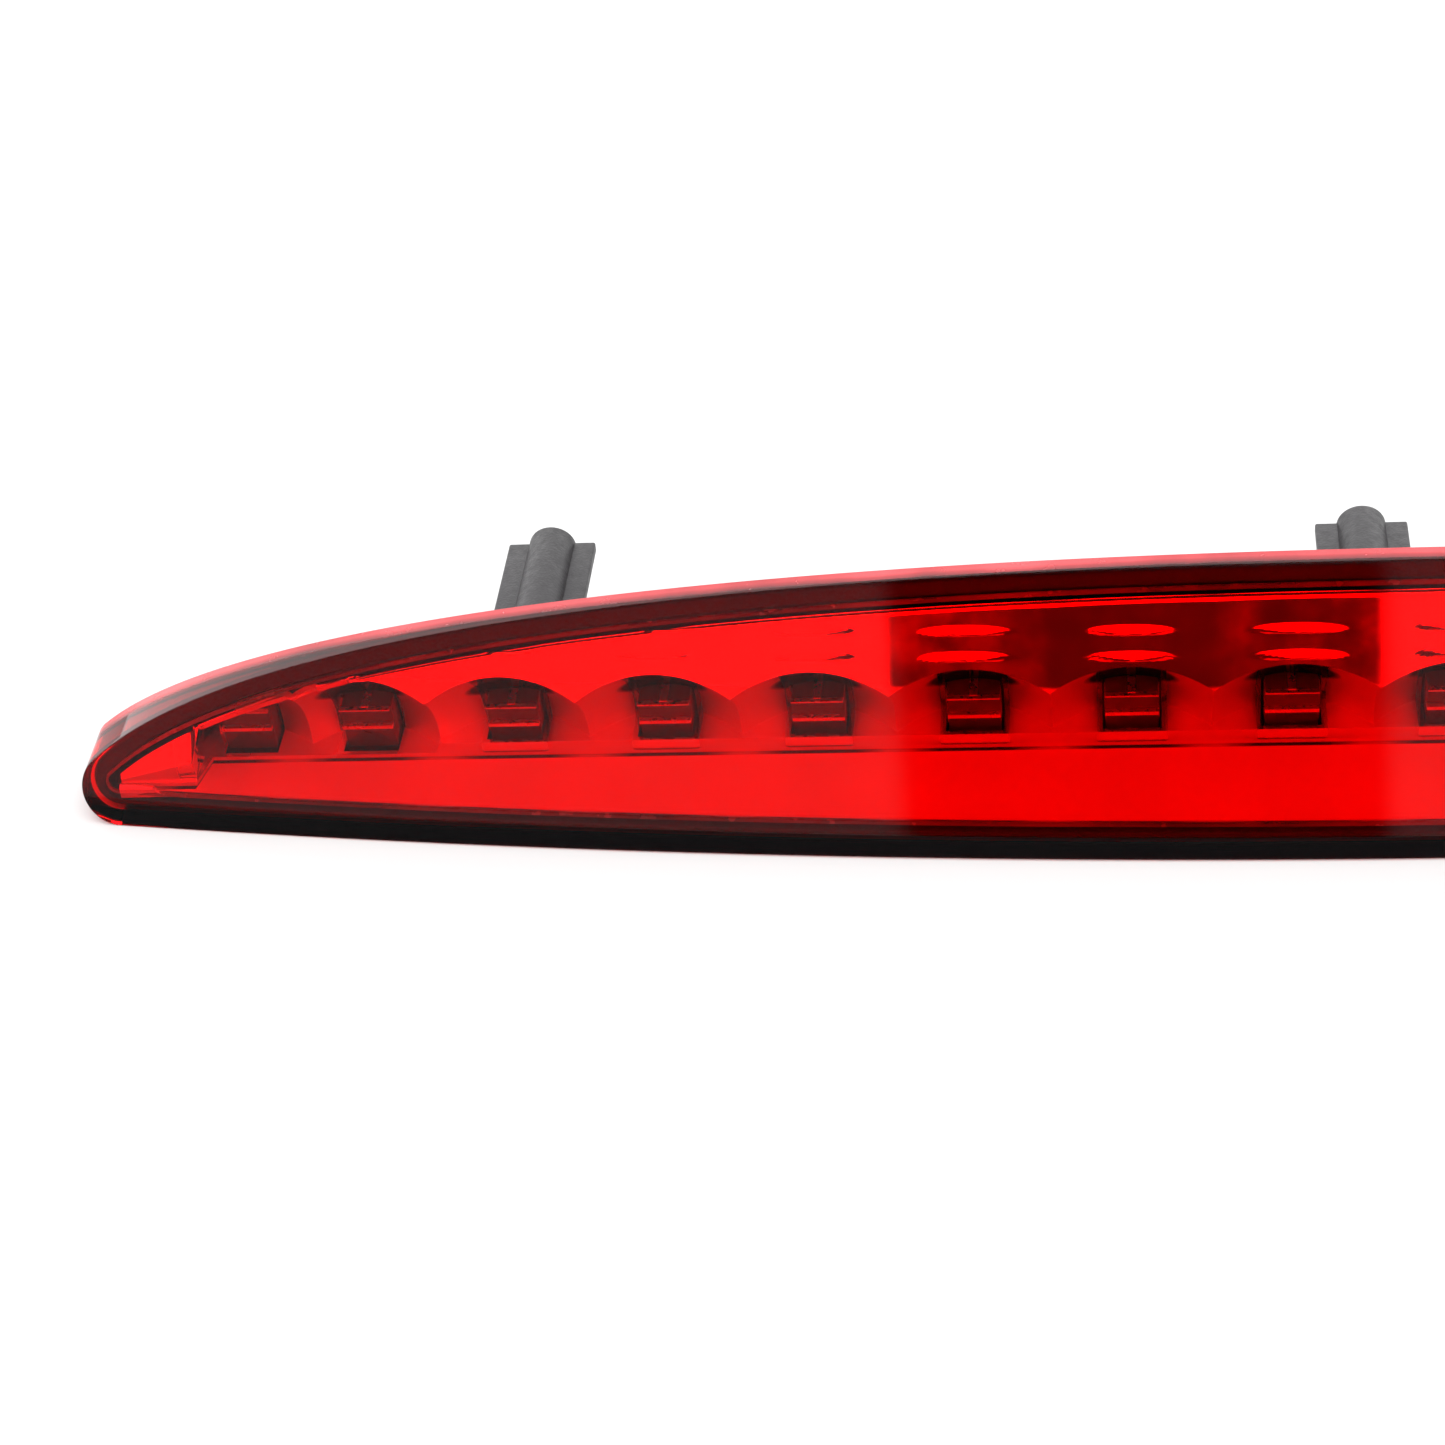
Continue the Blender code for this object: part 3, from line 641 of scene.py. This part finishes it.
def build_housing():
    """One moulding: rim inside the lens skirt, flange, tapered back and three winged bosses."""
    lens_line = lens_outline()
    rear_line = rear_outline()
    rim_line = inset(lens_line, RIM_INSET)
    rim_soft = inset(lens_line, RIM_INSET + RIM_SOFT_EDGE)
    inner_line = lower_floor(inset(lens_line, RIM_INSET + RIM_WALL), RIM_INSET + RIM_FLOOR_WALL)
    inner_soft = lower_floor(inset(lens_line, RIM_INSET + RIM_WALL - RIM_SOFT_EDGE),
                             RIM_INSET + RIM_FLOOR_WALL - 0.2 * MM)
    flange_line = lower_floor(inset(lens_line, FLANGE_INSET), FLANGE_FLOOR)
    flange_rear = lower_floor(inset(lens_line, FLANGE_INSET + FLANGE_TAPER), FLANGE_FLOOR)
    front = LENS_PLATE + GAP
    loops = [
        flat_loop(inset(rear_line, 0.6 * MM), HOUSING_BACK),
        flat_loop(rear_line, HOUSING_BACK - 0.5 * MM),
        flat_loop(flange_rear, FLANGE_BACK),
        flat_loop(flange_line, FLANGE_FRONT),
        flat_loop(rim_line, FLANGE_FRONT),
        face_loop(rim_line, front + RIM_SOFT_EDGE),
        face_loop(rim_soft, front),
        face_loop(inner_soft, front),
        face_loop(inner_line, front + RIM_SOFT_EDGE),
        flat_loop(inner_line, FLANGE_BACK - 0.3 * MM),
        flat_loop(inset(rear_line, HOUSING_WALL), HOUSING_BACK - HOUSING_WALL),
    ]
    bm = bmesh.new()
    ring_chain(bm, loops)
    housing = finish_mesh("housing_shell", bm, BLACK_PLASTIC)
    root = HOUSING_BACK - 1.0 * MM
    for x in BOSS_XS:
        wing = box_piece((x - WING_REACH, root, BOSS_Z - WING_THICKNESS / 2),
                         (x + WING_REACH, WING_END, BOSS_Z + WING_THICKNESS / 2), WING_SOFT_EDGE)
        apply_boolean(housing, wing, "UNION")
        boss = rod_piece(x, BOSS_Z, BOSS_RADIUS, root, BOSS_END, round_end=BOSS_SOFT_EDGE)
        apply_boolean(housing, boss, "UNION")
        hole = rod_piece(x, BOSS_Z, BOSS_HOLE_RADIUS, BOSS_END - BOSS_HOLE_DEPTH, BOSS_END + 1 * MM)
        apply_boolean(housing, hole, "DIFFERENCE")
    socket_low, socket_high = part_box("connector_socket")
    opening = box_piece((socket_low[0] - GAP, HOUSING_BACK - 4 * MM, socket_low[2] - GAP),
                        (socket_high[0] + GAP, HOUSING_BACK + 1 * MM, socket_high[2] - 1 * MM + GAP))
    apply_boolean(housing, opening, "DIFFERENCE")
    housing.data.shade_smooth()
    housing.data.set_sharp_from_angle(angle=math.radians(35))
    return keep(housing, "black_plastic", "rear_housing")


# ---------------------------------------------------------------- reflector

def nearest_led(x):
    return min(LED_XS, key=lambda led_x: abs(x - led_x))


def pillow(from_led, above):
    """How far a long shallow wedge stands out of the ledge: sloped above, cut back below."""
    across = from_led / PILLOW_REACH_X
    if abs(across) >= 1:
        return 0.0
    reach = PILLOW_REACH_Z * math.sqrt(1 - across * across)
    if abs(above) >= reach + PILLOW_RETURN:
        return 0.0
    slope = PILLOW_SLOPE * (reach - above)
    cut = PILLOW_SLOPE * 2 * reach * (above + reach + PILLOW_RETURN) / PILLOW_RETURN
    return max(0.0, min(slope, cut))


def ledge_depth(x, z):
    """World y of the upper ledge, which follows the lens face and is hollow in each cell."""
    ledge = face_depth(x, z) + LEDGE_CLEARANCE
    if abs(x) > CELL_EDGES_HALF[-1]:
        return max(END_LEDGE_Y, ledge)
    from_led = x - nearest_led(x)
    hollow = from_led * from_led / (2 * LEDGE_HOLLOW_RADIUS)
    raised = 0.0
    for pillow_z in PILLOW_ZS:
        raised = max(raised, pillow(from_led, z - pillow_z))
    lip = max(0.0, 1 - (reflector_top(x) - z) / LIP_HEIGHT)
    return ledge - hollow - raised + LIP_HEIGHT * lip * lip


def dish_depth(x, z):
    """World y of the dish around the nearest LED, a paraboloid."""
    radius_squared = (x - nearest_led(x)) ** 2 + (z - DISH_AXIS_Z) ** 2
    return DISH_VERTEX_Y - radius_squared / DISH_FOCAL_4


def rim_height(x, low, high):
    """Height at which the dish comes out of the ledge at x."""
    if abs(x) > CELL_EDGES_HALF[-1]:
        return low
    for _ in range(40):
        middle = (low + high) / 2
        if dish_depth(x, middle) > ledge_depth(x, middle):
            low = middle
        else:
            high = middle
    return low


def reflector_top(x):
    """Height of the sheet's upper edge."""
    return arch_height(x) - REFLECTOR_INSET * math.hypot(1, arch_slope(x, 0.5 * MM))


def reflector_columns(per_cell=28):
    """X positions of the sheet's columns, with one on each edge between cells."""
    half = [0.0]
    for left, right in zip(CELL_EDGES_HALF, CELL_EDGES_HALF[1:]):
        half += [left + (right - left) * (i + 1) / per_cell for i in range(per_cell)]
    end = REFLECTOR_END_X + REFLECTOR_END_REACH
    last = half[-1]
    half += [last + (end - last) * (i + 1) / 10 for i in range(10)]
    return [-x for x in reversed(half[1:])] + half


def reflector_profile(x, dish_rows=26, ledge_rows=82):
    """Points (y, z) up the sheet at x: shelf, riser, dish, rim and ledge."""
    last_two = abs(x) > CELL_EDGES_HALF[6] + 0.1 * MM
    riser_top = SHELF_Z + 0.5 * MM if last_two else RISER_TOP_Z
    top = reflector_top(x)
    rim = rim_height(x, riser_top, top)
    in_dish = rim > riser_top
    wall_y = dish_depth(x, riser_top) if in_dish else ledge_depth(x, riser_top)
    riser_y = min(RISER_Y, wall_y - 0.4 * MM)
    front = face_depth(x, SHELF_Z) + LENS_PLATE + SHEET_FRONT_GAP
    shelf_end = riser_y - GROOVE_WIDTH
    points = [(front + (shelf_end - front) * i / 4, SHELF_Z) for i in range(5)]
    points += [(shelf_end + 0.1 * MM, SHELF_Z - GROOVE_DEPTH), (riser_y, SHELF_Z - GROOVE_DEPTH)]
    points.append((riser_y, riser_top))
    for i in range(dish_rows):
        z = riser_top + (rim - riser_top) * i / dish_rows
        points.append((dish_depth(x, z) if in_dish else wall_y + 0.001 * MM * i, z))
    for i in range(ledge_rows + 1):
        z = rim + (top - rim) * i / ledge_rows
        points.append((ledge_depth(x, z), z))
    return points


def build_reflector():
    """Thin mirrored sheet: shelf, riser, dishes and ledge, with an opening for each LED."""
    bm = bmesh.new()
    rows = [[bm.verts.new((x, y, z)) for y, z in reflector_profile(x)]
            for x in reflector_columns()]
    for first, second in zip(rows, rows[1:]):
        for j in range(len(first) - 1):
            bm.faces.new((first[j], second[j], second[j + 1], first[j + 1]))
    mesh = bpy.data.meshes.new("reflector_sheet")
    bm.to_mesh(mesh)
    bm.free()
    mesh.materials.append(MIRROR)
    sheet = bpy.data.objects.new("reflector_sheet", mesh)
    bpy.context.scene.collection.objects.link(sheet)
    solid = sheet.modifiers.new("sheet", "SOLIDIFY")
    solid.thickness = SHEET_THICKNESS
    solid.offset = -1.0
    sheet.data = bpy.data.meshes.new_from_object(
        sheet.evaluated_get(bpy.context.evaluated_depsgraph_get()))
    sheet.modifiers.clear()
    half = LED_HALF + GAP
    near, far = LED_OPENING_DEPTHS
    for led_x in LED_XS:
        opening = box_piece((led_x - half, near, LED_Z - half), (led_x + half, far, LED_Z + half))
        apply_boolean(sheet, opening, "DIFFERENCE")
    sheet.data.shade_smooth()
    sheet.data.set_sharp_from_angle(angle=math.radians(30))
    return keep(sheet, "mirror_coating", "reflector")


# ---------------------------------------------------------------- LEDs

def add_block(bm, centre, size):
    matrix = Matrix.Translation(Vector(centre)) @ Matrix.Diagonal((*size, 1.0))
    bmesh.ops.create_cube(bm, size=1.0, matrix=matrix)


def build_led_body(number, x, low, high):
    """Square epoxy body with softened edges and a low dome."""
    body = box_piece((low[0], LED_FRONT, low[2]), high, LED_SOFT_EDGE)
    bm = bmesh.new()
    place = (Matrix.Translation((x, LED_FRONT + DOME_SETBACK, LED_Z))
             @ Matrix.Rotation(math.pi / 2, 4, "X"))
    bmesh.ops.create_uvsphere(bm, u_segments=32, v_segments=16, radius=DOME_RADIUS, matrix=place)
    dome = finish_mesh("dome_tool", bm, LED_EPOXY)
    apply_boolean(body, dome, "UNION")
    body.name = f"led_body_{number:02d}"
    body.data.materials.clear()
    body.data.materials.append(LED_EPOXY)
    body.data.shade_smooth()
    body.data.set_sharp_from_angle(angle=math.radians(35))
    keep(body, "led_epoxy", f"led_{number:02d}")


def build_led_frame(number, x, high):
    """Lead frame metal: two bars across the front and a strip along the top."""
    bm = bmesh.new()
    for above, half_height in LED_BARS:
        add_block(bm, (x, LED_FRONT - BAR_FORWARD, LED_Z + above),
                  (2 * (LED_HALF - BAR_SIDE_MARGIN), BAR_DEPTH, 2 * half_height))
    add_block(bm, (x, (LED_FRONT + high[1]) / 2, high[2]),
              (2 * STRIP_HALF_WIDTH, high[1] - LED_FRONT, STRIP_HEIGHT))
    bars = finish_mesh(f"led_frame_{number:02d}", bm, LEAD_FRAME)
    keep(bars, "led_epoxy")


# ---------------------------------------------------------------- carried-over CAD nodes

NODE_LOOKS = {
    "circuit_board": BOARD, "reverse_diode": CHIP_BLACK, "suppression_capacitor": CERAMIC,
    "connector_socket": NYLON, "terminal_positive": BRASS, "terminal_negative": BRASS,
    "lens_seal": RUBBER, "socket_seal": RUBBER, "breather_patch": MEMBRANE,
    "resistor": CHIP_BLACK, "board_screw": STEEL,
}


def dress_nodes():
    for name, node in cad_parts.items():
        for start, look in NODE_LOOKS.items():
            if name.startswith(start):
                for slot in node.material_slots:
                    slot.material = look


# ---------------------------------------------------------------- stage

def build_floor():
    bm = bmesh.new()
    bmesh.ops.create_grid(bm, x_segments=8, y_segments=8, size=FLOOR_HALF)
    n = Nodes("floor_white")
    n.shader.inputs["Base Color"].default_value = (FLOOR_GREY, FLOOR_GREY, FLOOR_GREY, 1.0)
    n.set(Roughness=0.9)
    n.shader.inputs["Specular IOR Level"].default_value = 0.0
    floor = finish_mesh("floor", bm, n.material)


def build_world():
    """White studio all round, with a darker area in front of the lens."""
    world = bpy.data.worlds.new("studio")
    bpy.context.scene.world = world
    world.use_nodes = True
    tree = world.node_tree
    background = tree.nodes["Background"]
    coords = tree.nodes.new("ShaderNodeTexCoord")
    split = tree.nodes.new("ShaderNodeSeparateXYZ")
    tree.links.new(coords.outputs["Generated"], split.inputs["Vector"])

    def span(source, low, high, to_low, to_high):
        node = tree.nodes.new("ShaderNodeMapRange")
        node.interpolation_type = "SMOOTHSTEP"
        node.inputs["From Min"].default_value = low
        node.inputs["From Max"].default_value = high
        node.inputs["To Min"].default_value = to_low
        node.inputs["To Max"].default_value = to_high
        tree.links.new(source, node.inputs["Value"])
        return node.outputs["Result"]

    def product(first, second):
        node = tree.nodes.new("ShaderNodeMath")
        node.operation = "MULTIPLY"
        tree.links.new(first, node.inputs[0])
        tree.links.new(second, node.inputs[1])
        return node.outputs["Value"]

    def between(source, low, high, soft):
        return product(span(source, low - soft, low + soft, 0.0, 1.0),
                       span(source, high - soft, high + soft, 1.0, 0.0))

    front = span(split.outputs["Y"], *DARK_FRONT, 1.0, 0.0)
    across = between(split.outputs["X"], *DARK_ACROSS)
    upwards = between(split.outputs["Z"], *DARK_UPWARDS)
    both = product(front, product(across, upwards))
    level = span(both, 0.0, 1.0, STUDIO_STRENGTH, DARK_STRENGTH)
    tree.links.new(level, background.inputs["Strength"])
    background.inputs["Color"].default_value = (1.0, 1.0, 1.0, 1.0)


def add_area(name, place, aim, size, power):
    data = bpy.data.lights.new(name, "AREA")
    data.shape = "RECTANGLE"
    data.size, data.size_y = size
    data.energy = power
    light = bpy.data.objects.new(name, data)
    light.location = place
    light.rotation_euler = (Vector(aim) - Vector(place)).to_track_quat("-Z", "Y").to_euler()
    bpy.context.scene.collection.objects.link(light)


def build_camera():
    """Camera above the left half, looking down at the lens, slightly turned and rolled."""
    data = bpy.data.cameras.new("camera")
    data.sensor_width = CAMERA_SENSOR
    data.lens = CAMERA_LENS
    camera = bpy.data.objects.new("camera", data)
    rotation = (Matrix.Rotation(CAMERA_TURN, 4, "Z") @ Matrix.Rotation(CAMERA_TILT, 4, "X")
                @ Matrix.Rotation(CAMERA_ROLL, 4, "Z"))
    place = Matrix.Translation(CAMERA_PLACE)
    camera.matrix_world = place @ rotation
    bpy.context.scene.collection.objects.link(camera)
    bpy.context.scene.camera = camera


build_lens()
build_lens_rib()
build_housing()
build_reflector()
for led_number, (led_low, led_high) in enumerate(LED_BOXES, 1):
    build_led_body(led_number, LED_XS[led_number - 1], led_low, led_high)
    build_led_frame(led_number, LED_XS[led_number - 1], led_high)
dress_nodes()
build_floor()
build_world()
add_area("softbox_top", (0.0, 0.1, 1.2), (0.0, 0.0, 0.0), (1.4, 1.0), 4.0)
build_camera()
bpy.context.scene.view_settings.view_transform = "Standard"
